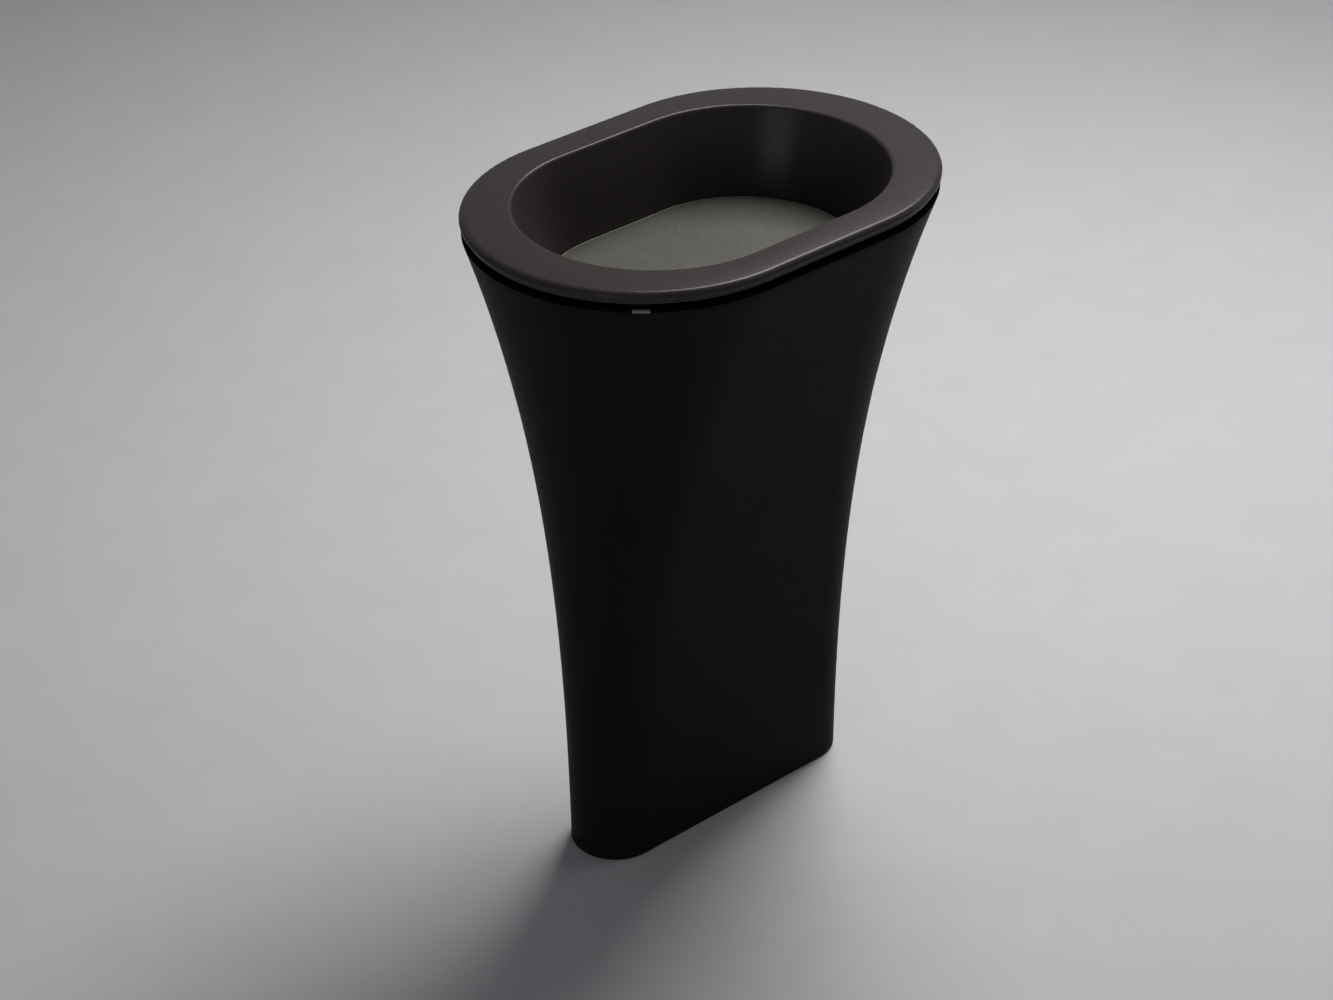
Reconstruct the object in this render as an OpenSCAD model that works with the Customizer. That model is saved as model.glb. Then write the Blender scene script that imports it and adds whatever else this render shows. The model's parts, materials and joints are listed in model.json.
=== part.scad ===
// Pedestal sink: a stadium-shaped basin on a flared hollow pedestal, with its waste and floor fixings.
// Millimetres. +Z is up and the front faces -Y. The origin is on the floor, at the middle of the foot.

/* [Overall] */
// Height of the rim above the floor
total_h = 850; // [830:1:870]
// Length of the rim, left to right
rim_len = 600; // [590:1:620]
// Width of the rim, front to back
rim_w = 420; // [414:1:430]
// Length of the foot
foot_len = 412; // [404:1:424]
// Width of the foot
foot_w = 112; // [110:1:120]

/* [Basin] */
// Thickness of the rim at its edge
rim_t = 10; // [10:0.5:12]
// Radius of the upper edge of the rim
rim_fillet = 6.5; // [3:0.5:6.5]
// Length of the bowl's opening
bowl_len = 474; // [468:1:480]
// Width of the bowl's opening
bowl_w = 330; // [326:1:336]
// Thickness of the bowl's wall
bowl_wall = 12; // [10:0.5:13]
// Depth from the rim to the top of the drain cover
cover_depth = 104; // [100:1:108]
// Depth from the rim to the lowest point of the bowl's floor
bowl_depth = 127; // [125:1:130]

/* [Drain cover] */
// Length of the drain cover
cover_len = 398; // [380:1:400]
// Width of the drain cover
cover_w = 275; // [260:1:277]
// Thickness of the drain cover
cover_t = 6; // [4:0.5:8]

/* [Pedestal] */
// Height of the shadow gap between the pedestal and the rim
gap_h = 9.5; // [8:0.5:12]
// Set-back of the neck ring from the edge of the pedestal
gap_depth = 18; // [16:1:20]
// Radius of the pedestal's top edge
top_fillet = 4.5; // [1:0.5:5]
// Thickness of the pedestal's wall
wall = 12; // [11:0.5:13]
// Thickness of the gasket under the foot
foot_gasket_t = 2; // [1:0.5:3]

/* [Access panel] */
// Width of the access panel
panel_w = 180; // [170:1:184]
// Height of the access panel
panel_h = 320; // [300:1:330]
// Height of the panel's lower edge above the floor
panel_z = 330; // [320:1:350]
// Thickness of the access panel
panel_t = 6; // [5:0.5:6]

/* [Waste] */
// Outer diameter of the waste pipe
pipe_d = 32; // [30:1:32]
// Outer diameter of the drain stub that rises from the floor
stub_d = 40; // [38:1:40]
// Distance of the floor pipe from the middle of the foot
pipe_x = 90; // [90:1:91]
// Height of the trap's outlet above the floor
trap_outlet_z = 566; // [560:1:570]

/* [Floor fixings] */
// Distance between the floor bolts, left to right
bolt_dx = 266; // [262:1:266]
// Distance between the floor bolts, front to back
bolt_dy = 36; // [32:1:38]
// Diameter of the floor bolt holes
bolt_d = 9; // [7:0.5:10]

/* [Hidden] */

$fn = 64;
arc_n = 22; // segments in each half-round end of a skinned outline
flare_n = 24; // rings in the pedestal's height
slip = 0.3; // space between bodies that move apart

rim_r = rim_w / 2;
rim_s = rim_len / 2 - rim_r;
foot_r = foot_w / 2;
foot_s = foot_len / 2 - foot_r;
bowl_r = bowl_w / 2;
bowl_s = bowl_len / 2 - bowl_r;
cover_r = cover_w / 2;
cover_s = cover_len / 2 - cover_r;

rim_under = total_h - rim_t;
body_top = rim_under - gap_h;
ledge_t = 12;
ledge_under = body_top - ledge_t;
ring_out = rim_r - gap_depth; // radius of the neck ring's ends
ring_in = ring_out - 8;
ledge_in = ring_in - 1;
foam_t = 3;

cover_top = total_h - cover_depth;
cover_under = cover_top - cover_t;
floor_low = total_h - bowl_depth; // lowest point of the bowl's floor
floor_edge = floor_low + 5;
cover_gap = 4; // water gap between the cover and the bowl
seat_r = cover_r + cover_gap;
seat_s = cover_s + 1;
basin_bottom = floor_low - 14;

drain_r = 23;
recess_r = 36;
recess_z = floor_low - 4;
flange_r = 34;
flange_top = floor_low - 0.5;
thread_r = 22.5;
pipe_r = pipe_d / 2;
tube_t = 1.8;
bend_r = 24; // centre-line radius of the outlet's bend
pipe_end = 36; // lower end of the waste pipe above the floor
clip_z = 250; // height of the clip that holds the waste pipe
clip_h = 14;
coupling_r = stub_d / 2 + 4;

trap_top = trap_outlet_z + 20;
trap_r = 36; // radius of the trap's head and of the cup's shoulder
cup_bottom = trap_outlet_z - 116;
cup_rim = trap_outlet_z - 34; // underside of the trap's head, which the cup seals against

bracket_w = 32;
bracket_t = 4;
bracket_h = 60;
screw_z = 35;
inside_y = foot_r - wall; // inner face of the straight wall at the foot

badge_w = 20;
badge_h = 4;
badge_depth = 4;
badge_turn = 227.5; // direction that the badge faces, from +X

stud_angles = [45, 135, 225, 315];
stud_arm = ring_in - 7; // distance of the studs from the centre of each round end

panel_gap = 2;
rebate_depth = panel_t + slip;
magnet_dx = panel_w / 2 - 7;
magnet_inset = 26; // from the panel's top and bottom edges to its magnets
peg_z = panel_z + 7;

// ---- the pedestal's flare -------------------------------------------------------------------

// cubic curve from 0 to 1 whose inner control values are a and b
function ease(t, a, b) = 3 * (1 - t) * (1 - t) * t * a + 3 * (1 - t) * t * t * b + t * t * t;
// radius of the round ends, which is also half the depth, at height z
function flare_r(z) = foot_r + (rim_r - foot_r) * ease(z / body_top, 0.03, 0.28);
// half the distance between the centres of the round ends at height z
function flare_s(z) = foot_s + (rim_s - foot_s) * ease(z / body_top, 0.05, 0.64);
// lean of the back wall from upright at height z, in degrees
function lean(z) = atan2(flare_r(z + 1) - flare_r(z - 1), 2);

// ---- outlines and skins ---------------------------------------------------------------------

// stadium outline: round ends of radius r whose centres are 2 s apart, at height z
function outline(s, r, z) = [
    for (side = [1, -1], i = [0:arc_n])
        let (a = (side > 0 ? -90 : 90) + 180 * i / arc_n)
            [side * s + r * cos(a), r * sin(a), z]];

// solid skinned over a list of outlines; a closed one joins its last outline to its first
module skin(rings, closed = false) {
    n = len(rings[0]);
    m = len(rings);
    last = closed ? m - 1 : m - 2;
    sides = [
        for (j = [0:last], i = [0:n - 1])
            let (
                a = j * n + i,
                b = ((j + 1) % m) * n + i,
                c = ((j + 1) % m) * n + (i + 1) % n,
                d = j * n + (i + 1) % n)
                each [[a, b, c], [a, c, d]]];
    ends = closed ? [] : [[for (i = [0:n - 1]) i], [for (i = [n - 1:-1:0]) (m - 1) * n + i]];
    polyhedron([for (ring = rings) each ring], concat(sides, ends), convexity = 8);
}

// flat stadium with true round ends
module stadium(s, r) {
    square([2 * s, 2 * r], center = true);
    for (x = [-s, s])
        translate([x, 0]) circle(r, $fn = 96);
}

// ring of that outline
module band(s, r_out, r_in, z, t) {
    translate([0, 0, z])
        linear_extrude(t)
            difference() {
                stadium(s, r_out);
                stadium(s, r_in);
            }
}

// round ring about the Z axis
module collar(r_out, r_in, z, h) {
    translate([0, 0, z])
        difference() {
            cylinder(r = r_out, h = h);
            translate([0, 0, -1]) cylinder(r = r_in, h = h + 2);
        }
}

// strip of the back wall between two heights, from off_in to off_out beyond its surface
module back_strip(w, z_low, z_high, off_in, off_out) {
    steps = 12;
    zs = [for (i = [0:steps]) z_low + (z_high - z_low) * i / steps];
    edge_in = [for (z = zs) [flare_r(z) + off_in, z]];
    edge_out = [for (i = [steps:-1:0]) [flare_r(zs[i]) + off_out, zs[i]]];
    translate([-w / 2, 0, 0])
        rotate([90, 0, 90])
            linear_extrude(w) polygon(concat(edge_in, edge_out));
}

// children at the back wall, with their own +Z pointing straight out of its surface
module on_back(x, z, off = 0) {
    translate([x, flare_r(z) + off, z])
        rotate([-90 - lean(z), 0, 0]) children();
}

// children at each floor bracket
module each_bracket() {
    for (x = [-bolt_dx / 2, bolt_dx / 2])
        translate([x, 0, 0]) children();
}

// children at each stud, turned so that +X points away from the centre of the round end
module each_stud() {
    for (a = stud_angles)
        translate([(cos(a) > 0 ? rim_s : -rim_s) + stud_arm * cos(a), stud_arm * sin(a), 0])
            rotate([0, 0, a]) children();
}

// children at each magnet of the access panel
module each_magnet(off) {
    for (x = [-magnet_dx, magnet_dx], z = [panel_z + magnet_inset, panel_z + panel_h - magnet_inset])
        on_back(x, z, off) children();
}

// hex nut standing on height z, with a plain bore
module hex_nut(across_corners, bore_r, z, h) {
    translate([0, 0, z])
        difference() {
            cylinder(d = across_corners, h = h, $fn = 6);
            translate([0, 0, -1]) cylinder(r = bore_r, h = h + 2);
        }
}

// ribbed slip nut for a pipe: a threaded skirt of bore skirt_r below, and a lip of bore lip_r above
module slip_nut(out_r, skirt_r, lip_r, h) {
    lip = 4;
    ribs = 10;
    difference() {
        union() {
            cylinder(r = out_r, h = h);
            for (i = [0:ribs - 1])
                rotate([0, 0, 360 * i / ribs])
                    translate([out_r - 2, -2, 1]) cube([4, 4, h - 2]);
        }
        translate([0, 0, -1]) cylinder(r = skirt_r, h = h - lip + 1);
        translate([0, 0, -1]) cylinder(r = lip_r, h = h + 2);
    }
}

// ---- pedestal -------------------------------------------------------------------------------

module shell() {
    low = foot_gasket_t;
    tilt = lean(body_top);
    flank_top = body_top - top_fillet * (1 + sin(tilt));
    arc_s = flare_s(flank_top);
    arc_r = flare_r(flank_top) - top_fillet * cos(tilt);
    outer = [
        for (i = [0:flare_n])
            let (z = low + (flank_top - low) * i / flare_n)
                outline(flare_s(z), flare_r(z), z)];
    round_edge = [
        for (i = [1:5])
            let (a = (90 + tilt) * i / 5 - tilt)
                outline(arc_s, arc_r + top_fillet * cos(a), body_top - top_fillet * (1 - sin(a)))];
    inner = [
        for (i = [flare_n:-1:0])
            let (z = low + (ledge_under - low) * i / flare_n)
                outline(flare_s(z), flare_r(z) - wall, z)];
    ledge = [
        outline(rim_s, ledge_in, body_top),
        outline(rim_s, ledge_in, ledge_under)];
    skin(concat(outer, round_edge, ledge, inner), closed = true);
}

module pedestal() {
    color([0.05, 0.05, 0.05])
        difference() {
            shell();
            // rebate that the panel lies in, and the opening through it
            back_strip(panel_w + 2 * panel_gap, panel_z - panel_gap, panel_z + panel_h + panel_gap,
                -rebate_depth, 12);
            translate([14 - panel_w / 2, 20, panel_z + 14])
                cube([panel_w - 28, rim_r, panel_h - 28]);
            for (x = [-magnet_dx, magnet_dx])
                translate([x, 0, peg_z]) rotate([-90, 0, 0]) cylinder(r = 3.3, h = rim_r);
            each_magnet(-rebate_depth) translate([0, 0, -1.5]) cylinder(r = 5, h = 4);
            // screw holes at the back of the foot
            each_bracket()
                translate([0, 0, screw_z])
                    rotate([-90, 0, 0]) {
                        cylinder(r = 3.2, h = rim_r);
                        translate([0, 0, foot_r - 6]) cylinder(r = 9, h = 20);
                    }
            badge_block(3);
        }
}

module base_gasket() {
    color([0.1, 0.1, 0.1]) band(foot_s, foot_r - 1.5, foot_r - wall + 1, 0, foot_gasket_t);
}

// block let into the wall at its top edge, on the front of the left end, that stands out by reach
module badge_block(reach) {
    z = body_top - badge_h / 2 - 1;
    translate([-flare_s(z), 0, z])
        rotate([0, 0, badge_turn])
            translate([flare_r(z), 0, 0])
                rotate([0, 90 + lean(z), 0])
                    translate([-badge_h / 2, -badge_w / 2, -badge_depth])
                        cube([badge_h, badge_w, badge_depth + reach]);
}

module badge() {
    color([0.6, 0.6, 0.6]) badge_block(0.4);
}

// ---- floor fixings --------------------------------------------------------------------------

module floor_brackets() {
    color([0.7, 0.7, 0.72])
        each_bracket()
            difference() {
                union() {
                    translate([-bracket_w / 2, -inside_y + 3, 0])
                        cube([bracket_w, 2 * inside_y - 3, bracket_t]);
                    translate([-bracket_w / 2, inside_y - bracket_t, 0])
                        cube([bracket_w, bracket_t, bracket_h]);
                }
                for (y = [-bolt_dy / 2, bolt_dy / 2])
                    translate([0, y, -1]) cylinder(d = bolt_d, h = bracket_t + 2);
                translate([0, 0, screw_z])
                    rotate([-90, 0, 0]) cylinder(r = 3, h = foot_r);
            }
}

module foot_screws() {
    color([0.75, 0.75, 0.77])
        each_bracket()
            translate([0, 0, screw_z])
                rotate([-90, 0, 0])
                    difference() {
                        union() {
                            translate([0, 0, inside_y - bracket_t - 6]) cylinder(r = 3, h = wall + 6);
                            translate([0, 0, foot_r - 5]) cylinder(r = 5.5, h = 3.2);
                        }
                        translate([0, 0, foot_r - 3.6]) cylinder(d = 4.6, h = 3, $fn = 6);
                    }
}

module foot_washers() {
    color([0.75, 0.75, 0.77])
        each_bracket()
            translate([0, 0, screw_z])
                rotate([-90, 0, 0]) collar(7, 3.2, foot_r - 6, 1);
}

module foot_caps() {
    color([0.06, 0.06, 0.06])
        each_bracket()
            translate([0, 0, screw_z])
                rotate([-90, 0, 0])
                    difference() {
                        translate([0, 0, foot_r - 6]) cylinder(r = 8.9, h = 6.4);
                        translate([0, 0, foot_r - 7]) cylinder(r = 7.2, h = 5.4);
                    }
}

// ---- basin ----------------------------------------------------------------------------------

module neck_ring() {
    color([0.03, 0.03, 0.03]) band(rim_s, ring_out, ring_in, body_top, gap_h - foam_t);
}

module basin_gasket() {
    color([0.08, 0.08, 0.08]) band(rim_s, ring_out - 1, ring_in + 1, rim_under - foam_t, foam_t);
}

module basin() {
    lower_fillet = 3;
    lip = 3;
    drip_r = rim_r - lower_fillet - 1; // outer radius of the drip edge under the rim
    drip_w = 2;
    drip_h = 5;
    outside = [
        outline(seat_s - 8, seat_r - 20, basin_bottom),
        outline(seat_s - 4, seat_r - 6, basin_bottom + 4),
        outline(seat_s, seat_r + bowl_wall - 3, floor_edge),
        outline(seat_s, seat_r + bowl_wall, cover_top),
        outline(bowl_s, bowl_r + bowl_wall, rim_under),
        outline(rim_s, drip_r - drip_w - 0.5, rim_under),
        outline(rim_s, drip_r - drip_w, rim_under - drip_h),
        outline(rim_s, drip_r - 0.5, rim_under - drip_h),
        outline(rim_s, drip_r, rim_under - drip_h + 0.5),
        outline(rim_s, drip_r, rim_under),
        outline(rim_s, rim_r - lower_fillet, rim_under)];
    edge = concat(
        [for (a = [-60:30:0])
            outline(rim_s, rim_r - lower_fillet * (1 - cos(a)), rim_under + lower_fillet * (1 + sin(a)))],
        [for (a = [0:18:90])
            outline(rim_s, rim_r - rim_fillet * (1 - cos(a)), total_h - rim_fillet * (1 - sin(a)))]);
    inside = concat(
        [for (a = [0:30:90])
            outline(bowl_s, bowl_r + lip * (1 - sin(a)), total_h - lip * (1 - cos(a)))],
        [
            outline(seat_s, seat_r, cover_top),
            outline(seat_s, seat_r - 2, cover_top - 9),
            outline(seat_s, seat_r - 6, floor_edge + 4),
            outline(seat_s - 2, seat_r - 14, floor_edge),
            outline(4, recess_r + 2, floor_low)]);
    color([0.25, 0.23, 0.22])
        difference() {
            skin(concat(outside, edge, inside));
            translate([0, 0, recess_z]) cylinder(r = recess_r, h = 20);
            translate([0, 0, basin_bottom - 1]) cylinder(r = drain_r, h = 40);
            each_stud() translate([0, 0, rim_under - 1]) cylinder(r = 3, h = 7);
        }
}

module basin_studs() {
    color([0.75, 0.75, 0.77])
        each_stud() translate([0, 0, ledge_under - 12]) cylinder(r = 3, h = rim_under + 6 - ledge_under + 12);
}

module basin_clips() {
    plate = 2.5;
    color([0.7, 0.7, 0.72])
        each_stud()
            difference() {
                translate([-8, -12, ledge_under - plate]) cube([21, 24, plate]);
                translate([0, 0, ledge_under - plate - 1]) cylinder(r = 3.2, h = plate + 2);
            }
}

module clip_nuts() {
    color([0.75, 0.75, 0.77]) each_stud() hex_nut(11.5, 3, ledge_under - 7.5, 5);
}

// ---- drain cover ----------------------------------------------------------------------------

module drain_cover() {
    bevel = 1;
    color([0.38, 0.37, 0.34])
        skin([
            outline(cover_s, cover_r - bevel, cover_under),
            outline(cover_s, cover_r, cover_under + bevel),
            outline(cover_s, cover_r, cover_top - bevel),
            outline(cover_s, cover_r - bevel, cover_top)]);
}

module cover_feet() {
    foot_h = cover_under - floor_edge - slip;
    color([0.1, 0.1, 0.1])
        for (x = [-110, 110], y = [-70, 70])
            translate([x, y, cover_under - foot_h]) cylinder(r1 = 6, r2 = 8, h = foot_h);
}

// ---- waste ----------------------------------------------------------------------------------

module waste_flange() {
    tube_low = recess_z - 50;
    color([0.85, 0.85, 0.87])
        rotate_extrude()
            polygon([
                [20.7, tube_low],
                [thread_r, tube_low],
                [thread_r, recess_z + 2],
                [flange_r, recess_z + 2],
                [flange_r, recess_z + 3],
                [flange_r - 2, flange_top],
                [25, flange_top],
                [20.7, flange_top - 2.5]]);
}

module flange_seal() {
    color([0.15, 0.15, 0.15]) collar(flange_r, thread_r, recess_z, 2);
}

// perforated cup that hangs in the flange by its lip, with a pin to lift it by
module hair_catcher() {
    lip_z = flange_top - 0.4;
    low = lip_z - 14;
    color([0.8, 0.8, 0.82]) {
        difference() {
            union() {
                translate([0, 0, lip_z]) cylinder(r = 23.5, h = 1.4);
                translate([0, 0, low]) cylinder(r = 19.8, h = 15);
            }
            translate([0, 0, low + 1.2]) cylinder(r = 18.6, h = 20);
            for (ring = [[7, 6], [13, 13]], i = [0:ring[1] - 1])
                rotate([0, 0, 360 * i / ring[1]])
                    translate([ring[0], 0, low - 1]) cylinder(r = 1.8, h = 4);
        }
        translate([0, 0, low]) cylinder(r = 2.5, h = 17);
    }
}

module waste_gasket() {
    color([0.12, 0.12, 0.12]) collar(34, thread_r, basin_bottom - 3, 3);
}

module waste_washer() {
    color([0.8, 0.8, 0.8]) collar(33, thread_r, basin_bottom - 4.5, 1.5);
}

module waste_nut() {
    color([0.72, 0.6, 0.35]) hex_nut(66, thread_r, basin_bottom - 16.5, 12);
}

module tailpiece() {
    collar_z = recess_z - 48;
    color([0.82, 0.82, 0.84])
        difference() {
            union() {
                translate([0, 0, trap_top]) cylinder(r = pipe_r, h = collar_z - trap_top + 1);
                translate([0, 0, collar_z]) cylinder(r = 20.7, h = 12);
            }
            translate([0, 0, trap_top - 1]) cylinder(r = pipe_r - tube_t, h = collar_z - trap_top + 20);
        }
}

// ---- bottle trap ----------------------------------------------------------------------------

module trap_body() {
    neck_r = 21;
    outlet_r = 19;
    dip_r = pipe_r - 1;
    top_t = 4;
    color([0.9, 0.9, 0.9])
        difference() {
            union() {
                difference() {
                    union() {
                        translate([0, 0, trap_top]) cylinder(r = neck_r, h = 22);
                        translate([0, 0, cup_rim]) cylinder(r = trap_r, h = trap_top - cup_rim);
                        translate([0, 0, trap_outlet_z]) rotate([0, 90, 0]) cylinder(r = outlet_r, h = 58);
                    }
                    translate([0, 0, cup_rim - 1])
                        cylinder(r = trap_r - 4, h = trap_top - top_t - cup_rim + 1);
                    translate([0, 0, trap_outlet_z]) rotate([0, 90, 0]) cylinder(r = pipe_r - 1, h = 60);
                    translate([50, 0, trap_outlet_z]) rotate([0, 90, 0]) cylinder(r = pipe_r, h = 60);
                }
                translate([0, 0, cup_bottom + 20]) cylinder(r = dip_r, h = trap_top - cup_bottom - 21);
            }
            translate([0, 0, cup_bottom]) cylinder(r = dip_r - tube_t, h = 200);
            translate([0, 0, trap_top]) cylinder(r = pipe_r, h = 40);
        }
}

module inlet_nut() {
    color([0.86, 0.86, 0.86]) translate([0, 0, trap_top + 10]) slip_nut(25, 21, pipe_r, 20);
}

module inlet_seal() {
    color([0.15, 0.15, 0.15]) collar(20.5, pipe_r, trap_top + 22, 4);
}

module outlet_nut() {
    color([0.86, 0.86, 0.86])
        translate([46, 0, trap_outlet_z]) rotate([0, 90, 0]) slip_nut(23, 19, pipe_r, 20);
}

module outlet_seal() {
    color([0.15, 0.15, 0.15])
        translate([0, 0, trap_outlet_z]) rotate([0, 90, 0]) collar(18.5, pipe_r, 58, 4);
}

module trap_cup() {
    out_r = trap_r - 3;
    in_r = out_r - 2.5;
    top = cup_rim - 2 - slip;
    color([0.9, 0.9, 0.9])
        rotate_extrude()
            polygon([
                [0, cup_bottom],
                [22, cup_bottom],
                [30, cup_bottom + 4],
                [out_r, cup_bottom + 14],
                [out_r, top - 10],
                [trap_r, top - 8],
                [trap_r, top],
                [in_r, top],
                [in_r, cup_bottom + 16],
                [28, cup_bottom + 6],
                [20, cup_bottom + 3],
                [0, cup_bottom + 3]]);
}

module cup_seal() {
    color([0.15, 0.15, 0.15]) collar(trap_r - 1.5, trap_r - 5, cup_rim - 2 - slip, 2);
}

// union nut that holds the cup against the trap's head
module cup_nut() {
    ribs = 12;
    out_r = trap_r + 5;
    low = cup_rim - 19;
    high = cup_rim + 10;
    color([0.86, 0.86, 0.86])
        difference() {
            union() {
                translate([0, 0, low]) cylinder(r = out_r, h = high - low);
                for (i = [0:ribs - 1])
                    rotate([0, 0, 360 * i / ribs])
                        translate([out_r - 1.5, -2.5, low + 2]) cube([3.5, 5, high - low - 4]);
            }
            translate([0, 0, low - 1]) cylinder(r = trap_r - 3 + slip, h = 10);
            translate([0, 0, low + 5]) cylinder(r = trap_r + slip, h = high - low);
        }
}

// ---- outlet ---------------------------------------------------------------------------------

// bar of radius r along the outlet, round the bend and down to the coupling
module outlet_route(r, start, end) {
    bend_z = trap_outlet_z - bend_r;
    bend_x = pipe_x - bend_r;
    translate([start, 0, trap_outlet_z]) rotate([0, 90, 0]) cylinder(r = r, h = bend_x - start);
    translate([bend_x, 0, bend_z])
        rotate([90, 0, 0])
            rotate_extrude(angle = 90) translate([bend_r, 0]) circle(r);
    translate([pipe_x, 0, end]) cylinder(r = r, h = bend_z - end);
}

module outlet_pipe() {
    start = 52;
    color([0.82, 0.82, 0.84])
        difference() {
            outlet_route(pipe_r, start, pipe_end);
            outlet_route(pipe_r - tube_t, start - 1, pipe_end - 1);
        }
}

module pipe_clip() {
    color([0.2, 0.2, 0.2])
        translate([pipe_x, 0, 0]) collar(pipe_r + 3, pipe_r, clip_z - clip_h / 2, clip_h);
}

// wall pad and arm that carry the pipe clip
module pipe_bracket() {
    arm = 10;
    color([0.7, 0.7, 0.72])
        translate([pipe_x, 0, 0]) {
            back_strip(34, clip_z - 17, clip_z + 17, -wall - 3, -wall);
            difference() {
                translate([-arm / 2, 0, clip_z - arm / 2])
                    cube([arm, flare_r(clip_z) - wall - 2, arm]);
                translate([0, 0, clip_z - arm]) cylinder(r = pipe_r + 3, h = 2 * arm);
            }
        }
}

// rubber reducer from the stub in the floor up to the waste pipe
module coupling() {
    low = 6;
    high = 66;
    stub_r = stub_d / 2 + 0.1;
    color([0.12, 0.12, 0.12])
        translate([pipe_x, 0, 0])
            difference() {
                union() {
                    translate([0, 0, low]) cylinder(r = coupling_r, h = pipe_end + 3 - low);
                    translate([0, 0, low]) cylinder(r = pipe_r + 4, h = high - low);
                }
                translate([0, 0, low - 1]) cylinder(r = stub_r, h = pipe_end - low + 1);
                translate([0, 0, low]) cylinder(r = pipe_r, h = high);
            }
}

// worm-drive clamps round both ends of the coupling
module coupling_clamps() {
    color([0.75, 0.75, 0.77])
        translate([pipe_x, 0, 0])
            for (place = [[coupling_r, 14], [pipe_r + 4, 50]]) {
                collar(place[0] + 1, place[0], place[1], 9);
                translate([-7, -place[0] - 6, place[1]]) cube([14, 5.5, 9]);
            }
}

// ---- access panel ---------------------------------------------------------------------------

module access_panel() {
    color([0.05, 0.05, 0.05])
        difference() {
            back_strip(panel_w, panel_z, panel_z + panel_h, -panel_t, 0);
            each_magnet(-panel_t) translate([0, 0, -3]) cylinder(r = 5, h = 5.5);
            panel_peg_bars();
        }
}

module panel_magnets() {
    color([0.6, 0.6, 0.62]) each_magnet(-panel_t) cylinder(r = 5, h = 2.5);
}

module panel_strikes() {
    color([0.5, 0.5, 0.52]) each_magnet(-rebate_depth) translate([0, 0, -1.5]) cylinder(r = 5, h = 1.2);
}

module panel_peg_bars() {
    for (x = [-magnet_dx, magnet_dx])
        translate([x, flare_r(peg_z) - panel_t - 5, peg_z])
            rotate([-90, 0, 0]) cylinder(r = 3, h = 8);
}

module panel_pegs() {
    color([0.1, 0.1, 0.1]) panel_peg_bars();
}

pedestal();
base_gasket();
floor_brackets();
foot_screws();
foot_washers();
foot_caps();
neck_ring();
badge();
basin();
basin_gasket();
basin_studs();
basin_clips();
clip_nuts();
drain_cover();
cover_feet();
waste_flange();
flange_seal();
hair_catcher();
waste_gasket();
waste_washer();
waste_nut();
tailpiece();
trap_body();
inlet_nut();
inlet_seal();
trap_cup();
cup_seal();
cup_nut();
outlet_nut();
outlet_seal();
outlet_pipe();
pipe_clip();
pipe_bracket();
coupling();
coupling_clamps();
access_panel();
panel_magnets();
panel_strikes();
panel_pegs();
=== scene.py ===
import json
import math

import bmesh
import bpy
from mathutils import Matrix, Vector


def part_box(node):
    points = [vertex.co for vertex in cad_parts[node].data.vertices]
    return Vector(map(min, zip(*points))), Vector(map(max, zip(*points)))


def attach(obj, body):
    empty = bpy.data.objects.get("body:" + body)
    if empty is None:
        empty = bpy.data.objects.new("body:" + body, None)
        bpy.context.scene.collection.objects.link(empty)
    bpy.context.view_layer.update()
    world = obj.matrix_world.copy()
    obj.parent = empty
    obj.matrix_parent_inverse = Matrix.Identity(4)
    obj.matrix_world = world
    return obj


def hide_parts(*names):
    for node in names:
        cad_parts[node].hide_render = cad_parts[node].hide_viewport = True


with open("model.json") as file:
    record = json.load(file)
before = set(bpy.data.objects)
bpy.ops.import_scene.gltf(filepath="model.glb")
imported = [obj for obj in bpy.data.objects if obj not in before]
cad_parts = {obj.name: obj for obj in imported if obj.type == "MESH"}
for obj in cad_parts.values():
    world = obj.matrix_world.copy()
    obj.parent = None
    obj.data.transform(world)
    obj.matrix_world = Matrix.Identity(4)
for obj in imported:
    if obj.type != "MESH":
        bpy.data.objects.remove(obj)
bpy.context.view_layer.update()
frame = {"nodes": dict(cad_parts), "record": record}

MM = 0.001

# ---- sizes, from the CAD nodes ------------------------------------------------------------

_, basin_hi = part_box("basin")
shell_lo, shell_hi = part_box("pedestal")
_, foot_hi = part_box("base_gasket")
_, ring_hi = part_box("neck_ring")
_, foam_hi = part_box("basin_gasket")
cover_lo, cover_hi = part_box("drain_cover")
seal_lo, seal_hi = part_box("flange_seal")
_, gasket_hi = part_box("waste_gasket")
panel_lo, panel_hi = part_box("access_panel")
magnet_lo, magnet_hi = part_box("panel_magnets")
peg_lo, peg_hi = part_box("panel_pegs")
cap_lo, cap_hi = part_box("foot_caps")

# Each stadium outline is s, half the distance between its round ends' centres, and r, their
# radius.

# pedestal
BODY_TOP = shell_hi.z
BODY_LOW = shell_lo.z
WALL = 12 * MM
TOP_FILLET = 4.5 * MM
PAINTED_SHADE_START = 2 * MM  # height over the start of the fillet where the painted shade on the land begins
PAINTED_SHADE_NORMAL = 0.1  # faces of the land that get the painted shade look up more than this
BASE_INSET = 1.5 * MM  # from the foot's outline in to the base gasket's
FOOT_R = foot_hi.y + BASE_INSET
FOOT_S = foot_hi.x + BASE_INSET - FOOT_R
LEDGE_R = ring_hi.y - 9 * MM  # inner edge of the ledge that carries the neck ring
LEDGE_T = 12 * MM
FLANK_STEP = 14 * MM  # height of a row of faces on the flared walls

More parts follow.
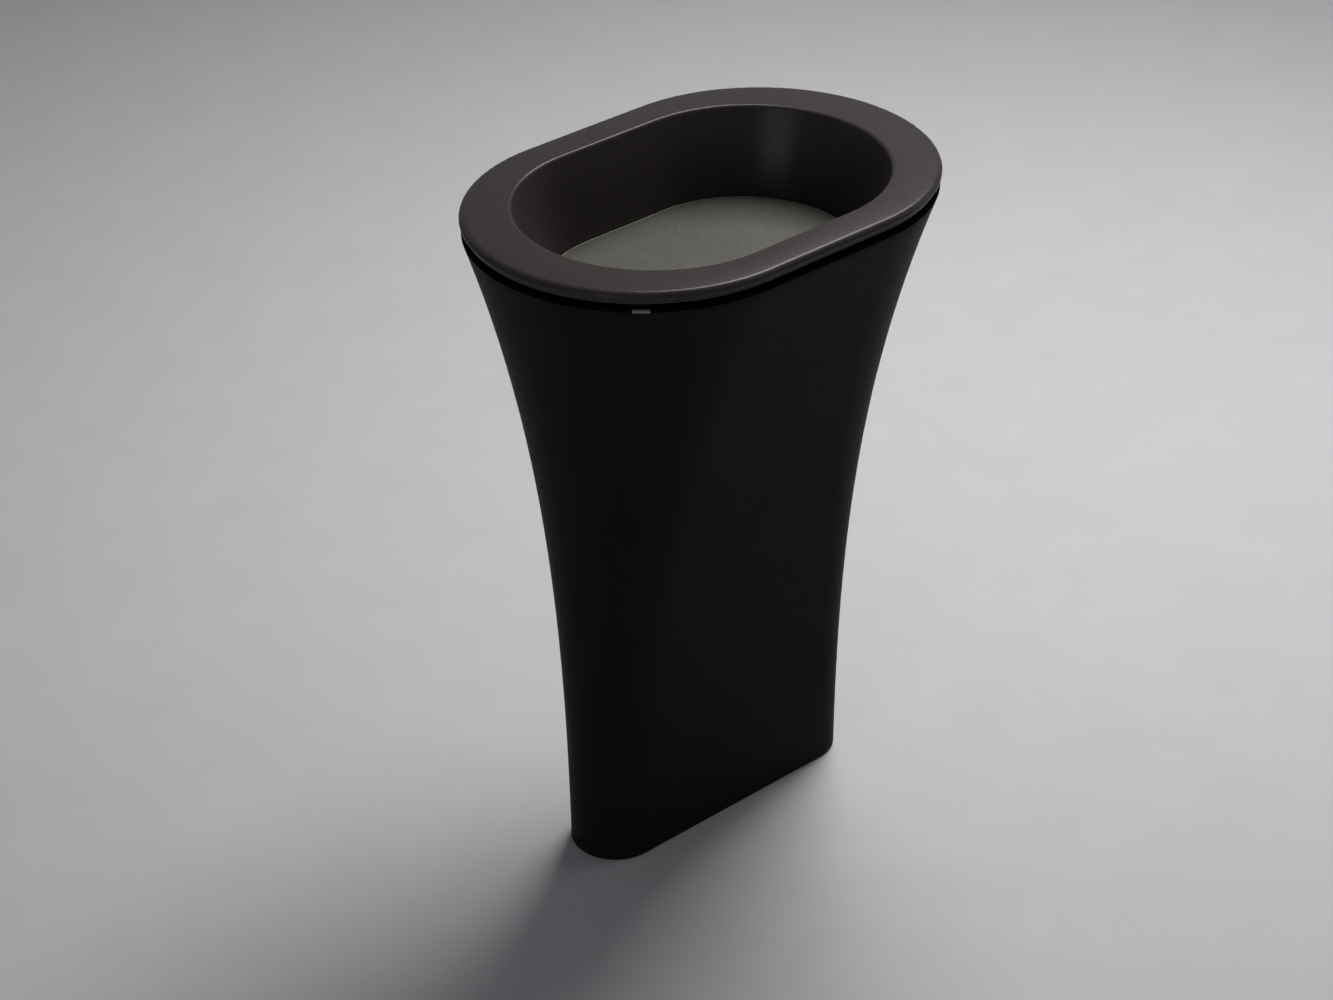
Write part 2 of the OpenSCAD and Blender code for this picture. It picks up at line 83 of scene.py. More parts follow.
# basin
RIM_R = basin_hi.y
RIM_S = basin_hi.x - RIM_R
RIM_TOP = basin_hi.z
RIM_UNDER = foam_hi.z
RIM_FILLET = 6.5 * MM
DRIP_R, DRIP_H = RIM_R - 4 * MM, 5 * MM
BOWL_WALL = 12 * MM
BOWL_S, BOWL_R = 72 * MM, 165 * MM
RECESS_Z = seal_lo.z
RECESS_R = seal_hi.x + 2 * MM
DRAIN_R = 23 * MM
BASIN_LOW = gasket_hi.z
FLOOR_LOW = RECESS_Z + 4 * MM
FLOOR_EDGE = FLOOR_LOW + 5 * MM

# drain cover, and the bowl's outline round it
COVER_R = cover_hi.y
COVER_S = cover_hi.x - COVER_R
COVER_TOP, COVER_UNDER = cover_hi.z, cover_lo.z
COVER_ARRIS = 1.4 * MM
COVER_BAND = 14 * MM  # width of the ring of faces inside the cover's edge
ARRIS_NORMAL = (0.12, 0.995)  # upward part of the normals of the arris, which slants
SEAT_S, SEAT_R = COVER_S + 1 * MM, COVER_R + 4 * MM

# access panel, and the rebate in the pedestal's back that it closes
PANEL_X = panel_hi.x
PANEL_T = 6 * MM
PANEL_GAP = 2 * MM
PANEL_BEVEL = 1 * MM
REBATE = 6.3 * MM
REBATE_SHELF = 14 * MM
MAGNET_R = 5 * MM
MAGNET_T = 2.5 * MM
MAGNET_INSET = 26 * MM  # from the panel's top and bottom edges
STRIKE_T = 1.5 * MM
PEG_R = 3 * MM
PEG_HOLE_R, PEG_HOLE_DEPTH = 3.3 * MM, 12 * MM

# screws at the back of the foot, under their caps
CAP_R = 8.9 * MM
COUNTERBORE_R, COUNTERBORE_DEPTH = 9 * MM, 6 * MM
SCREW_HOLE_R, SCREW_HOLE_DEPTH = 3.2 * MM, 20 * MM

# badge, in plain millimetres: half its length, half its height and its corners' radius
BADGE_X, BADGE_Y, BADGE_CORNER = 10, 1.7, 1.2
BADGE_EDGE = ((-2.0, 0), (0.25, 0), (0.36, 0.08), (0.4, 0.25))  # (reach, inset) of each ring
BADGE_TURN = math.radians(227.5)  # round the pedestal's left end
BADGE_DROP = 3.3 * MM  # from the pedestal's top to the badge's middle

# the flare's curves, from the foot (0) to the top of the pedestal (1)
FLARE_R = (0.03, 0.28)
FLARE_S = (0.05, 0.64)


def ease(t, a, b):
    """Cubic from 0 to 1 whose inner control values are a and b."""
    return 3 * (1 - t) ** 2 * t * a + 3 * (1 - t) * t * t * b + t ** 3


def flare_r(z):
    """The pedestal's outer radius at height z."""
    return FOOT_R + (RIM_R - FOOT_R) * ease(z / BODY_TOP, *FLARE_R)


def flare_s(z):
    """Half the distance between the centres of the pedestal's round ends at height z."""
    return FOOT_S + (RIM_S - FOOT_S) * ease(z / BODY_TOP, *FLARE_S)


# ---- camera -------------------------------------------------------------------------------

CAM_TARGET = Vector((-0.06105, 0, 0.45119))
CAM_DISTANCE = 3.9758
CAM_YAW = math.radians(41.53)
CAM_PITCH = math.radians(31.32)
CAM_ROLL = math.radians(-0.53)
CAM_LENS, CAM_SENSOR = 89.84, 36
CAM_FAR = 60


def make_camera():
    """Camera that looks down at CAM_TARGET from the front left."""
    level = Vector((math.sin(CAM_YAW), math.cos(CAM_YAW), 0))
    right = Vector((math.cos(CAM_YAW), -math.sin(CAM_YAW), 0))
    ahead = math.cos(CAM_PITCH) * level - math.sin(CAM_PITCH) * Vector((0, 0, 1))
    up = right.cross(ahead)
    roll_right = math.cos(CAM_ROLL) * right + math.sin(CAM_ROLL) * up
    roll_up = math.cos(CAM_ROLL) * up - math.sin(CAM_ROLL) * right
    data = bpy.data.cameras.new("camera")
    data.sensor_width = CAM_SENSOR
    data.lens = CAM_LENS
    data.clip_end = CAM_FAR
    cam = bpy.data.objects.new("camera", data)
    bpy.context.scene.collection.objects.link(cam)
    turn = Matrix((roll_right, roll_up, -ahead)).transposed().to_4x4()
    cam.matrix_world = Matrix.Translation(CAM_TARGET - ahead * CAM_DISTANCE) @ turn
    bpy.context.scene.camera = cam


make_camera()

# ---- materials ----------------------------------------------------------------------------

DRIFT_CELLS = 9  # cells a metre of the slow drift in a material's colour
ROUGH_SHARE = 6  # how many times coarser than its grain a material's roughness varies
NOISE_RANGE = (0.3, 0.7)  # nearly all of a noise texture lies between these


class Nodes:
    """A new material's node tree, with short calls to add and link nodes."""

    def __init__(self, name):
        self.material = bpy.data.materials.new(name)
        self.material.use_nodes = True
        self.tree = self.material.node_tree
        self.shader = self.tree.nodes["Principled BSDF"]
        self.place = self.add("ShaderNodeTexCoord").outputs["Object"]

    def add(self, kind, **values):
        """New node; each value is set on the input of that name, or else on the node."""
        node = self.tree.nodes.new(kind)
        for key, value in values.items():
            if key in node.inputs:
                node.inputs[key].default_value = value
            else:
                setattr(node, key, value)
        return node

    def link(self, start, end):
        self.tree.links.new(start, end)

    def noise(self, scale, detail=3.0, stretch=(1, 1, 1)):
        """Noise of scale cells a metre, drawn out along the axes whose stretch is under 1."""
        mapping = self.add("ShaderNodeMapping")
        mapping.inputs["Scale"].default_value = stretch
        self.link(self.place, mapping.inputs["Vector"])
        node = self.add("ShaderNodeTexNoise", Scale=scale, Detail=detail, Roughness=0.55)
        self.link(mapping.outputs["Vector"], node.inputs["Vector"])
        return node.outputs["Fac"]

    def spread(self, value, low, high, source=NOISE_RANGE):
        """value, which runs over the source range, spread from low to high."""
        node = self.add("ShaderNodeMapRange")
        for key, number in (("From Min", source[0]), ("From Max", source[1]),
                ("To Min", low), ("To Max", high)):
            node.inputs[key].default_value = number
        self.link(value, node.inputs["Value"])
        return node.outputs["Result"]

    def blend(self, factor, first, second):
        """Colour that goes from first to second with factor."""
        node = self.add("ShaderNodeMix", data_type="RGBA")
        node.inputs[6].default_value = (*first, 1)
        node.inputs[7].default_value = (*second, 1)
        self.link(factor, node.inputs[0])
        return node.outputs[2]

    def colour(self, output):
        """Takes the shader's colour from the output."""
        self.link(output, self.shader.inputs["Base Color"])

    def roughness(self, output):
        """Takes the shader's roughness from the output."""
        self.link(output, self.shader.inputs["Roughness"])

    def bump(self, height, strength, distance):
        """Relief, on top of any that the shader already has."""
        node = self.add("ShaderNodeBump", Strength=strength, Distance=distance)
        self.link(height, node.inputs["Height"])
        if self.shader.inputs["Normal"].links:
            earlier = self.shader.inputs["Normal"].links[0].from_socket
            self.link(earlier, node.inputs["Normal"])
        self.link(node.outputs["Normal"], self.shader.inputs["Normal"])

    def set(self, **values):
        """Sets the shader's own inputs, with _ for a space in a name."""
        for key, value in values.items():
            self.shader.inputs[key.replace("_", " ")].default_value = value


def mottled(name, dark, light, grain, rough, relief=0.0, specular=0.5, metallic=0.0,
        stretch=(1, 1, 1)):
    """Material whose colour and roughness drift between two values, with a fine grain in relief.

    grain is in cells a metre and relief in metres.
    """
    m = Nodes(name)
    m.set(Metallic=metallic, Specular_IOR_Level=specular)
    drift = m.noise(DRIFT_CELLS, stretch=stretch)
    m.colour(m.blend(m.spread(drift, 0, 1), dark, light))
    m.roughness(m.spread(m.noise(grain / ROUGH_SHARE, stretch=stretch), *rough))
    if relief:
        m.bump(m.noise(grain, 4, stretch), 1.0, relief)
    return m


def satin_black():
    """Satin black lacquer: soft sheen that drifts a little, with the faintest orange peel."""
    m = mottled("satin_black", (0.0105, 0.0105, 0.0104), (0.0120, 0.0120, 0.0118), 700,
        (0.46, 0.54), relief=0.00001, specular=0.018)
    m.bump(m.noise(160, 2), 0.4, 0.00002)
    return m.material


def painted_shade_land():
    """Painted shade: near-black colour on the pedestal's top land inside the shadow gap, where
    the rim shades it.
    """
    return mottled("painted_shade_land", (0.0010, 0.0010, 0.0010), (0.0016, 0.0016, 0.0016), 1600,
        (0.8, 0.9), relief=0.00002, specular=0.02).material


def matt_taupe():
    """Matt cast mineral in dark taupe, with a fine even grain."""
    return mottled("matt_taupe", (0.0375, 0.0308, 0.0300), (0.0410, 0.0340, 0.0330), 1400,
        (0.25, 0.29), relief=0.000005, specular=0.11).material


def cover_face():
    """Matt olive-grey cover, with a fine tooth left by sanding."""
    return mottled("cover_olive", (0.068, 0.0650, 0.055), (0.078, 0.0745, 0.064), 1100,
        (0.30, 0.38), relief=0.00001).material


def cover_painted_highlight():
    """Painted highlight: the cover's arris coloured far paler than its face, for the light it
    catches.
    """
    return mottled("cover_painted_highlight", (0.66, 0.64, 0.58), (0.80, 0.78, 0.72), 600,
        (0.25, 0.35)).material


def rubber():
    """Dull black rubber of the gaskets, seals, feet and coupling."""
    return mottled("rubber", (0.008, 0.008, 0.008), (0.016, 0.016, 0.016), 900, (0.7, 0.85),
        relief=0.00003, specular=0.3).material


def black_plastic():
    """Moulded black plastic of the neck ring, caps, clip and pegs."""
    return mottled("black_plastic", (0.006, 0.006, 0.006), (0.010, 0.010, 0.010), 1200,
        (0.5, 0.62), relief=0.00003, specular=0.25).material


def white_plastic():
    """Moulded white plastic of the trap."""
    return mottled("white_plastic", (0.70, 0.70, 0.68), (0.78, 0.78, 0.77), 1200,
        (0.32, 0.42), relief=0.00002).material


def zinc_steel():
    """Zinc-plated steel, slightly blue, whose spangle changes its roughness."""
    m = mottled("zinc_steel", (0.42, 0.43, 0.45), (0.56, 0.57, 0.58), 500, (0.3, 0.45),
        metallic=1.0)
    spangle = m.add("ShaderNodeTexVoronoi", Scale=220.0)
    m.link(m.place, spangle.inputs["Vector"])
    m.roughness(m.spread(spangle.outputs["Color"], 0.28, 0.46, source=(0, 1)))
    return m.material


def blasted_steel():
    """Bead-blasted steel of the blank badge, darkened to a mid grey."""
    return mottled("blasted_steel", (0.21, 0.21, 0.21), (0.25, 0.25, 0.25), 2500, (0.6, 0.7),
        metallic=0.2, relief=0.00001, specular=0.2).material


def satin_steel():
    """Stainless steel brushed along x."""
    return mottled("satin_steel", (0.50, 0.50, 0.50), (0.60, 0.60, 0.60), 1500, (0.28, 0.36),
        metallic=1.0, relief=0.00001, stretch=(0.04, 1, 1)).material


def chrome():
    """Polished chrome, faintly clouded."""
    return mottled("chrome", (0.72, 0.73, 0.75), (0.78, 0.79, 0.80), 60, (0.05, 0.11),
        metallic=1.0).material


def brass():
    """Brass with its grain drawn out along z."""
    return mottled("brass", (0.62, 0.43, 0.16), (0.72, 0.52, 0.22), 900, (0.25, 0.38),
        metallic=1.0, relief=0.00002, stretch=(1, 1, 0.1)).material


FINISHES = {
    "black_body": satin_black(),
    "taupe_basin": matt_taupe(),
    "cover_grey": cover_face(),
    "rubber": rubber(),
    "black_plastic": black_plastic(),
    "white_plastic": white_plastic(),
    "steel": zinc_steel(),
    "satin_steel": satin_steel(),
    "chrome": chrome(),
    "brass": brass(),
}
COVER_PAINTED_HIGHLIGHT = cover_painted_highlight()
PAINTED_SHADE_LAND = painted_shade_land()
BADGE = blasted_steel()

for part in frame["record"]["subparts"]:
    node = frame["nodes"][part["node"]]
    node.data.materials.clear()
    node.data.materials.append(FINISHES[part["material_slot"]])

# ---- mesh building ------------------------------------------------------------------------

ARC_N = 40  # segments in each half-round end
DRILL_N = 40  # segments round a drilled hole
DRILL_OVER = 1 * MM  # how far a drill stands out of the surface it cuts
WELD = 1e-6  # points closer than this become one
SHARP_ANGLE = math.radians(35)
BEVEL_ANGLE = math.radians(40)


def outline(s, r, z, extra=()):
    """Points round a stadium; extra holds half-widths that get points on its straight back."""
    ring = []
    for side in (1, -1):
        if side < 0:
            backs = [min(x, 0.99 * s) for x in sorted(extra, reverse=True)]
            ring += [(x, r, z) for x in backs] + [(-x, r, z) for x in backs[::-1]]
        for i in range(ARC_N + 1):
            a = math.pi * (i / ARC_N - 0.5) + (0 if side > 0 else math.pi)
            ring.append((side * s + r * math.cos(a), r * math.sin(a), z))
    return ring


def rounded(corners, steps=6, closed=False):
    """Rounds a profile of (s, r, z, reach) corners.

    Each corner gets an arc that starts and ends reach from it. An open profile keeps its ends.
    """
    profile = []
    count = len(corners)
    for i, (*corner, reach) in enumerate(corners):
        here = Vector(corner)
        at_end = not closed and i in (0, count - 1)
        if reach == 0 or at_end:
            profile.append(here)
            continue
        before = Vector(corners[i - 1][:3]) - here
        after = Vector(corners[(i + 1) % count][:3]) - here
        middle = before.normalized() + after.normalized()
        centre = here + middle * (2 * reach / middle.length_squared)
        start = here + before.normalized() * reach - centre
        end = here + after.normalized() * reach - centre
        profile += [centre + start.slerp(end, k / steps) * start.length
            for k in range(steps + 1)]
    return profile


def add_grid(bm, rows, wrap=False, skip=None):
    """Quads over rows of points of equal length.

    wrap joins each row's ends, and skip(j, i) leaves out the quad at row j and column i.
    """
    made = [[bm.verts.new(p) for p in row] for row in rows]
    count = len(rows[0])
    for j in range(len(rows) - 1):
        for i in range(count if wrap else count - 1):
            if skip and skip(j, i):
                continue
            k = (i + 1) % count
            bm.faces.new((made[j][i], made[j][k], made[j + 1][k], made[j + 1][i]))
    return made


def new_object(bm, name):
    """Puts the bmesh into the scene as an object of that name."""
    mesh = bpy.data.meshes.new(name)
    bm.to_mesh(mesh)
    bm.free()
    made = bpy.data.objects.new(name, mesh)
    bpy.context.scene.collection.objects.link(made)
    return made


def drill(piece, holes):
    """Cuts round holes: each is a centre in the surface, the way in, a radius and a depth."""
    bm = bmesh.new()
    for start, way, radius, depth in holes:
        turn = Vector(way).to_track_quat("Z", "Y").to_matrix().to_4x4()
        middle = Vector(start) + Vector(way).normalized() * (depth / 2 - DRILL_OVER)
        bmesh.ops.create_cone(bm, cap_ends=True, segments=DRILL_N, radius1=radius,
            radius2=radius, depth=depth + 2 * DRILL_OVER,
            matrix=Matrix.Translation(middle) @ turn)
    tool = new_object(bm, "drills")
    mod = piece.modifiers.new("holes", "BOOLEAN")
    mod.solver = "EXACT"
    mod.object = tool
    graph = bpy.context.evaluated_depsgraph_get()
    cut = bpy.data.meshes.new_from_object(piece.evaluated_get(graph))
    piece.modifiers.clear()
    piece.data = cut
    piece.data.set_sharp_from_angle(angle=SHARP_ANGLE)
    bpy.data.objects.remove(tool)


def finish_mesh(bm, name, body, nodes, finish, bevel=0.0, holes=()):
    """Turns the bmesh into a piece that rides on a body and stands for CAD nodes."""
    bmesh.ops.remove_doubles(bm, verts=bm.verts, dist=WELD)
    bmesh.ops.recalc_face_normals(bm, faces=bm.faces)
    piece = new_object(bm, name)
    piece.data.shade_smooth()
    piece.data.set_sharp_from_angle(angle=SHARP_ANGLE)
    piece.data.materials.append(finish)
    if holes:
        drill(piece, holes)
    if bevel:
        mod = piece.modifiers.new("edges", "BEVEL")
        mod.width = bevel
        mod.segments = 2
        mod.limit_method = "ANGLE"
        mod.angle_limit = BEVEL_ANGLE
        mod.harden_normals = True
    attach(piece, body)
    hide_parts(*nodes)
    return piece


def levels(low, high, marks=()):
    """Heights from low to high about FLANK_STEP apart, with every mark among them."""
    stops = sorted({low, high, *(m for m in marks if low < m < high)})
    heights = []
    for a, b in zip(stops, stops[1:]):
        count = max(1, round((b - a) / FLANK_STEP))
        heights += [a + (b - a) * i / count for i in range(count)]
    return heights + [high]


# ---- pedestal -----------------------------------------------------------------------------

# The window is the rebate's outline in the outer face of the back wall, and the shelf is what
# it leaves round the smaller opening in the inner face.
WINDOW_X, SHELF_X = PANEL_X + PANEL_GAP, PANEL_X - REBATE_SHELF
WINDOW_Z = (panel_lo.z - PANEL_GAP, panel_hi.z + PANEL_GAP)
SHELF_Z = (panel_lo.z + REBATE_SHELF, panel_hi.z - REBATE_SHELF)
BACK_XS = (WINDOW_X, SHELF_X)
SAME_Z = 1e-9  # tolerance when a height is looked up among the levels


def back_point(x, z, depth):
    """Point on the straight back wall, that depth in from its outer face."""
    return (x, flare_r(z) - depth, z)


def flare_slope(z):
    """How fast the outer radius grows with height at z."""
    return (flare_r(z + MM) - flare_r(z - MM)) / (2 * MM)


def way_in(z):
    """Direction straight into the back wall at height z."""
    return Vector((0, -1, flare_slope(z))).normalized()


def magnet_places():
    """(x, z) of each magnet of the access panel."""
    x = (magnet_hi.x - magnet_lo.x) / 2 - MAGNET_R
    zs = (panel_lo.z + MAGNET_INSET, panel_hi.z - MAGNET_INSET)
    return [(side * x, z) for side in (-1, 1) for z in zs]


def window_path(x, z_low, z_high, heights):
    """Closed loop of points round an opening in the back wall, as (x, z)."""
    side = [z for z in heights if z_low - SAME_Z <= z <= z_high + SAME_Z]
    path = [(-x, z) for z in side] + [(x, z) for z in reversed(side)]
    return path + path[:1]


def window_skip(heights, bounds, first, last):
    """skip for add_grid that leaves out the columns first to last - 1 between two heights."""
    def skip(j, i):
        middle = (heights[j] + heights[j + 1]) / 2
        return bounds[0] < middle < bounds[1] and first <= i < last
    return skip


def shell_holes():
    """Strike pockets and peg holes in the shelf, and the screws' holes under their caps."""
    holes = [(back_point(x, z, REBATE), way_in(z), MAGNET_R, STRIKE_T)
        for x, z in magnet_places()]
    peg_x, peg_z = peg_hi.x - PEG_R, (peg_lo.z + peg_hi.z) / 2
    cap_x, cap_z = cap_hi.x - CAP_R, (cap_lo.z + cap_hi.z) / 2
    level_in = (0, -1, 0)
    for side in (-1, 1):
        peg = back_point(side * peg_x, peg_z, REBATE)
        screw = back_point(side * cap_x, cap_z, 0)
        holes.append((peg, level_in, PEG_HOLE_R, PEG_HOLE_DEPTH))
        holes.append((screw, level_in, COUNTERBORE_R, COUNTERBORE_DEPTH))
        holes.append((screw, level_in, SCREW_HOLE_R, SCREW_HOLE_DEPTH))
    return holes


def build_pedestal():
    """Flared shell with a rounded top edge, an inner ledge and a rebated service opening."""
    bm = bmesh.new()
    tilt = math.atan2(flare_r(BODY_TOP) - flare_r(BODY_TOP - 2 * MM), 2 * MM)
    flank_top = BODY_TOP - TOP_FILLET * (1 + math.sin(tilt))
    marks = (*WINDOW_Z, *SHELF_Z)
    heights = levels(BODY_LOW, flank_top, marks)
    ledge_z = BODY_TOP - LEDGE_T
    inner_heights = levels(BODY_LOW, ledge_z, marks)

    def ring(z, inset=0.0):
        return outline(flare_s(z), flare_r(z) - inset, z, BACK_XS)

    back = ARC_N + 1  # index of the first point on the straight back
    add_grid(bm, [ring(z) for z in heights], True,
        window_skip(heights, WINDOW_Z, back, back + 3))
    add_grid(bm, [ring(z, WALL) for z in inner_heights], True,
        window_skip(inner_heights, SHELF_Z, back + 1, back + 2))
    top_h = BODY_TOP - flank_top
    top = rounded([
        (flare_s(flank_top), flare_r(flank_top), flank_top, 0),
        (flare_s(flank_top), flare_r(flank_top) + top_h * math.tan(tilt), BODY_TOP,
            top_h / math.cos(tilt)),
        (RIM_S, LEDGE_R, BODY_TOP, 1 * MM),
        (RIM_S, LEDGE_R, ledge_z, 0),
        (flare_s(ledge_z), flare_r(ledge_z) - WALL, ledge_z, 0)])
    add_grid(bm, [outline(*p, BACK_XS) for p in top], True)
    add_grid(bm, [ring(BODY_LOW, WALL), ring(BODY_LOW)], True)

    # the rebate's side, the opening's own edge, and the shelf between them
    for x, zs, depths in ((WINDOW_X, WINDOW_Z, (0, REBATE)), (SHELF_X, SHELF_Z, (REBATE, WALL))):
        path = window_path(x, *zs, heights)
        add_grid(bm, [[back_point(px, pz, d) for px, pz in path] for d in depths])
    shelf_zs = [z for z in heights if WINDOW_Z[0] - SAME_Z <= z <= WINDOW_Z[1] + SAME_Z]
    shelf_xs = (-WINDOW_X, -SHELF_X, SHELF_X, WINDOW_X)
    add_grid(bm, [[back_point(x, z, REBATE) for x in shelf_xs] for z in shelf_zs],
        skip=window_skip(shelf_zs, SHELF_Z, 1, 2))

    piece = finish_mesh(bm, "pedestal_shell", "stand", ["pedestal"],
        FINISHES["black_body"], holes=shell_holes())
    # painted shade: the top land and the upper fillet get near-black colour for the rim's shade
    piece.data.materials.append(PAINTED_SHADE_LAND)
    for face in piece.data.polygons:
        if face.center.z > flank_top + PAINTED_SHADE_START and face.normal.z > PAINTED_SHADE_NORMAL:
            face.material_index = 1


# ---- badge --------------------------------------------------------------------------------


def build_badge():
    """Blank plate with rounded corners, let into the shell at its top edge."""
    z = BODY_TOP - BADGE_DROP
    lean = math.atan(flare_slope(z))
    radial = Vector((math.cos(BADGE_TURN), math.sin(BADGE_TURN), 0))
    out = math.cos(lean) * radial - math.sin(lean) * Vector((0, 0, 1))
    along = Vector((-radial.y, radial.x, 0))
    up = out.cross(along)
    centre = Vector((-flare_s(z), 0, z)) + radial * flare_r(z)
    rows = []
    for reach, inset in BADGE_EDGE:
        row = []
        radius = BADGE_CORNER - inset
        for corner_x, corner_y, start in ((1, 1, 0), (-1, 1, 90), (-1, -1, 180), (1, -1, 270)):
            for k in range(7):
                a = math.radians(start + 15 * k)
                x = corner_x * (BADGE_X - BADGE_CORNER) + radius * math.cos(a)
                y = corner_y * (BADGE_Y - BADGE_CORNER) + radius * math.sin(a)
                row.append(centre + (along * x + up * y + out * reach) * MM)
        rows.append(row)
    bm = bmesh.new()
    made = add_grid(bm, rows, True)
    bm.faces.new(made[-1])
    bm.faces.new(made[0])
    finish_mesh(bm, "blank_badge", "stand", ["badge"], BADGE)


# ---- access panel -------------------------------------------------------------------------


def build_panel():
    """Plate that follows the back wall, with pockets for its magnets."""
    bm = bmesh.new()
    heights = levels(panel_lo.z, panel_hi.z)
    for depth in (0, PANEL_T):
        add_grid(bm, [[back_point(x, z, depth) for x in (-PANEL_X, PANEL_X)] for z in heights])
    path = window_path(PANEL_X, panel_lo.z, panel_hi.z, heights)
    add_grid(bm, [[back_point(px, pz, d) for px, pz in path] for d in (0, PANEL_T)])
    holes = [(back_point(x, z, PANEL_T), -way_in(z), MAGNET_R, MAGNET_T)
        for x, z in magnet_places()]
    finish_mesh(bm, "service_panel", "panel", ["access_panel"],
        FINISHES["black_body"], bevel=PANEL_BEVEL, holes=holes)


# ---- basin --------------------------------------------------------------------------------


def build_basin():
    """The basin's casting, as one closed profile of stadium outlines round its middle."""
    profile = rounded([
        # the rim's outer face and flat top, and the bowl's inner face down to the drain
        (RIM_S, RIM_R, RIM_UNDER, 3 * MM),
        (RIM_S, RIM_R, RIM_TOP, RIM_FILLET),
        (BOWL_S, BOWL_R, RIM_TOP, 3.2 * MM),
        (SEAT_S, SEAT_R, COVER_TOP - 2 * MM, 12 * MM),
        (SEAT_S, SEAT_R - 4 * MM, FLOOR_EDGE + 1 * MM, 8 * MM),
        (20 * MM, RECESS_R + 24 * MM, FLOOR_LOW + 1.4 * MM, 6 * MM),
        (0, RECESS_R, FLOOR_LOW, 1 * MM),
        (0, RECESS_R, RECESS_Z, 0),
        (0, DRAIN_R, RECESS_Z, 0),
        (0, DRAIN_R, BASIN_LOW, 1 * MM),
        # the bowl's outside, up to the rim's underside
        (SEAT_S - 8 * MM, SEAT_R - 20 * MM, BASIN_LOW, 8 * MM),
        (SEAT_S, SEAT_R + BOWL_WALL, FLOOR_EDGE + 4 * MM, 16 * MM),
        (BOWL_S, BOWL_R + BOWL_WALL, RIM_UNDER, 6 * MM),
        # the drip edge
        (RIM_S, DRIP_R - 2.5 * MM, RIM_UNDER, 0),
        (RIM_S, DRIP_R - 2 * MM, RIM_UNDER - DRIP_H, 0.4 * MM),
        (RIM_S, DRIP_R, RIM_UNDER - DRIP_H, 0.6 * MM),
        (RIM_S, DRIP_R, RIM_UNDER, 0)], steps=8, closed=True)
    bm = bmesh.new()
    rings = [outline(*p) for p in profile]
    add_grid(bm, rings + rings[:1], True)
    finish_mesh(bm, "basin_casting", "stand", ["basin"],
        FINISHES["taupe_basin"])


# ---- drain cover --------------------------------------------------------------------------


def build_cover():
    """Flat plate with a rounded arris round its top, which carries a painted highlight."""
    inner_r = COVER_R - COVER_BAND
    profile = rounded([
        (COVER_S, inner_r, COVER_UNDER, 0),
        (COVER_S, COVER_R, COVER_UNDER, 0.8 * MM),
        (COVER_S, COVER_R, COVER_TOP, COVER_ARRIS),
        (COVER_S, inner_r, COVER_TOP, 0)], steps=5)
    bm = bmesh.new()
    rows = add_grid(bm, [outline(*p) for p in profile], True)
    bm.faces.new(reversed(rows[0]))
    bm.faces.new(rows[-1])
    piece = finish_mesh(bm, "drain_cover_plate", "cover", ["drain_cover"],
        FINISHES["cover_grey"])
    piece.data.materials.append(COVER_PAINTED_HIGHLIGHT)
    # painted highlight: the arris's slanted faces take the pale colour
    for face in piece.data.polygons:
        slanted = ARRIS_NORMAL[0] < abs(face.normal.z) < ARRIS_NORMAL[1]
        if slanted and face.center.z > COVER_TOP - COVER_ARRIS:
            face.material_index = 1


build_pedestal()
build_badge()
build_panel()
build_basin()
build_cover()

# ---- floor, light and world ---------------------------------------------------------------

FLOOR_RADIUS = 30
FLOOR_DROP = 0.0002  # keeps the floor's face clear of the foot's

# name, place, aim, width and height, watts, tint and spread in degrees
LIGHTS = (
    ("overhead", (1.6, 0.6, 3.05), (0.4, 0, 0.4), (1.5, 1.5), 74, (1, 0.99, 0.97), 150),
    ("window", (1.8, -1.1, 3.1), (0, 0, 0.8), (1.0, 1.0), 4.5, (1, 1, 1), 180),
    ("side", (3.0, -1.2, 1.0), (0, 0, 0.8), (1.0, 1.0), 3, (1, 1, 1), 180),
    ("low_left", (-3.15, -1.3, 1.4), (0, 0, 0.8), (1.5, 0.6), 9, (1, 1, 1), 180),
)

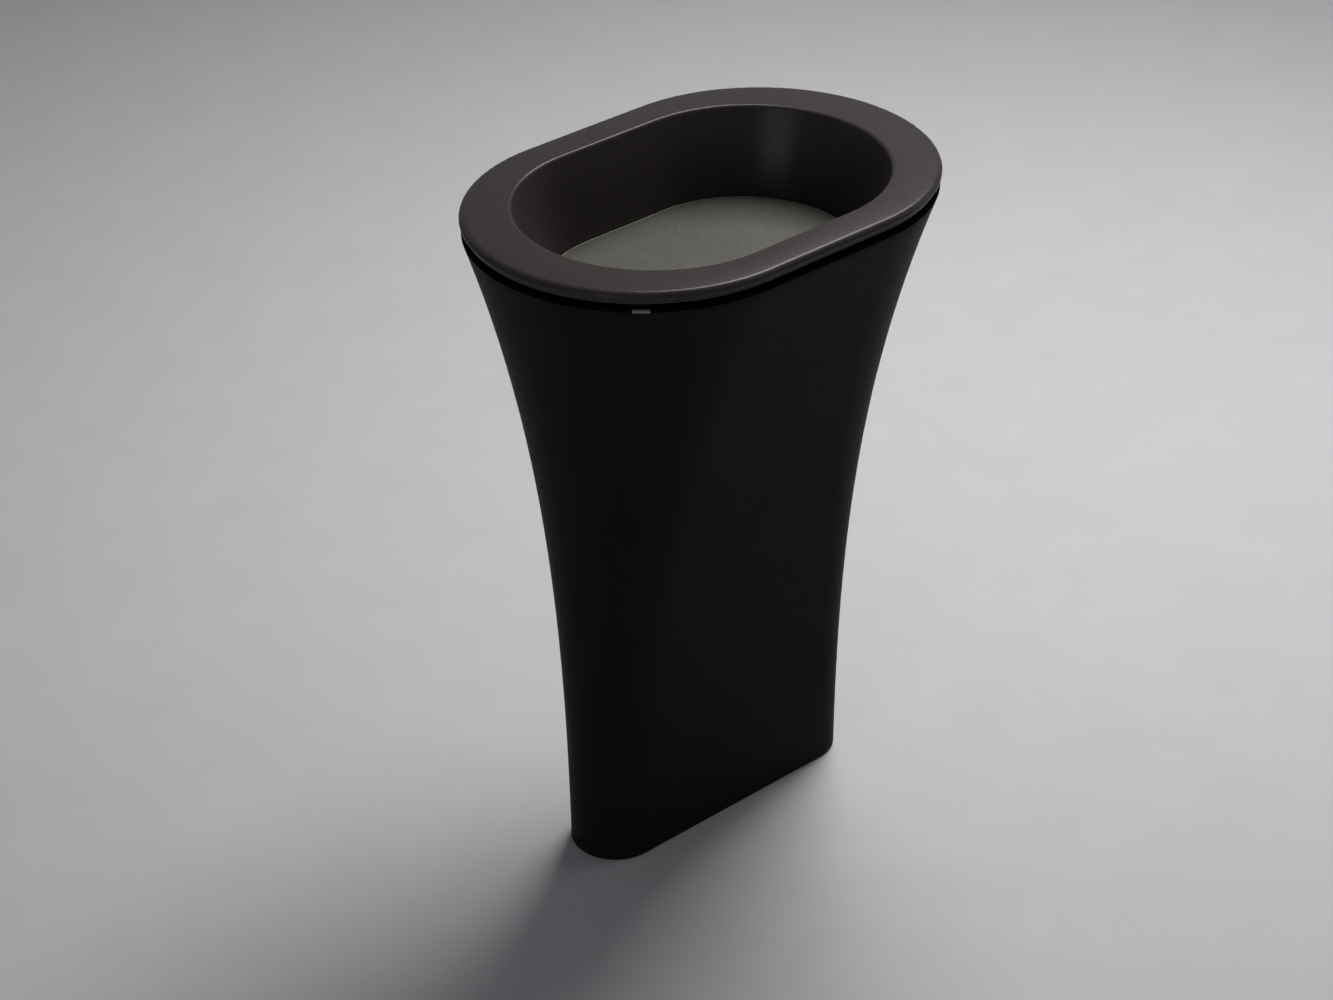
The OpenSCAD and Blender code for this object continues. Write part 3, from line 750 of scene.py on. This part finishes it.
# the world's light falls from the first strength to the second between these two heights
WORLD_TINT = (0.86, 0.89, 0.94, 1)
WORLD_HEIGHTS = (0.1, 0.8)
WORLD_STRENGTHS = (0.30, 0.05)


def make_floor():
    """Plain pale floor out to the horizon, which is no piece of the object."""
    m = mottled("pale_floor", (0.54, 0.55, 0.57), (0.56, 0.57, 0.59), 20, (0.75, 0.85),
        specular=0.2)
    bm = bmesh.new()
    bmesh.ops.create_circle(bm, cap_ends=True, segments=96, radius=FLOOR_RADIUS)
    floor = new_object(bm, "floor")
    floor.data.materials.append(m.material)
    floor.location.z = -FLOOR_DROP


def area_light(name, place, aim, size, power, tint, spread):
    """Soft rectangular light at a place, turned to the point it aims at."""
    data = bpy.data.lights.new(name, "AREA")
    data.shape = "RECTANGLE"
    data.size, data.size_y = size
    data.energy = power
    data.color = tint
    data.spread = math.radians(spread)
    light = bpy.data.objects.new(name, data)
    light.location = place
    light.rotation_euler = (Vector(aim) - Vector(place)).to_track_quat("-Z", "Y").to_euler()
    light.visible_camera = False
    bpy.context.scene.collection.objects.link(light)


def make_world():
    """Pale studio air, brighter low down than overhead."""
    world = bpy.data.worlds.new("studio")
    world.use_nodes = True
    nodes, links = world.node_tree.nodes, world.node_tree.links
    split = nodes.new("ShaderNodeSeparateXYZ")
    ramp = nodes.new("ShaderNodeMapRange")
    ramp.interpolation_type = "SMOOTHSTEP"
    ramp.inputs["From Min"].default_value, ramp.inputs["From Max"].default_value = WORLD_HEIGHTS
    ramp.inputs["To Min"].default_value, ramp.inputs["To Max"].default_value = WORLD_STRENGTHS
    links.new(nodes.new("ShaderNodeTexCoord").outputs["Generated"], split.inputs["Vector"])
    links.new(split.outputs["Z"], ramp.inputs["Value"])
    links.new(ramp.outputs["Result"], nodes["Background"].inputs["Strength"])
    nodes["Background"].inputs["Color"].default_value = WORLD_TINT
    bpy.context.scene.world = world


make_floor()
for light in LIGHTS:
    area_light(*light)
make_world()
bpy.context.scene.view_settings.view_transform = "Standard"
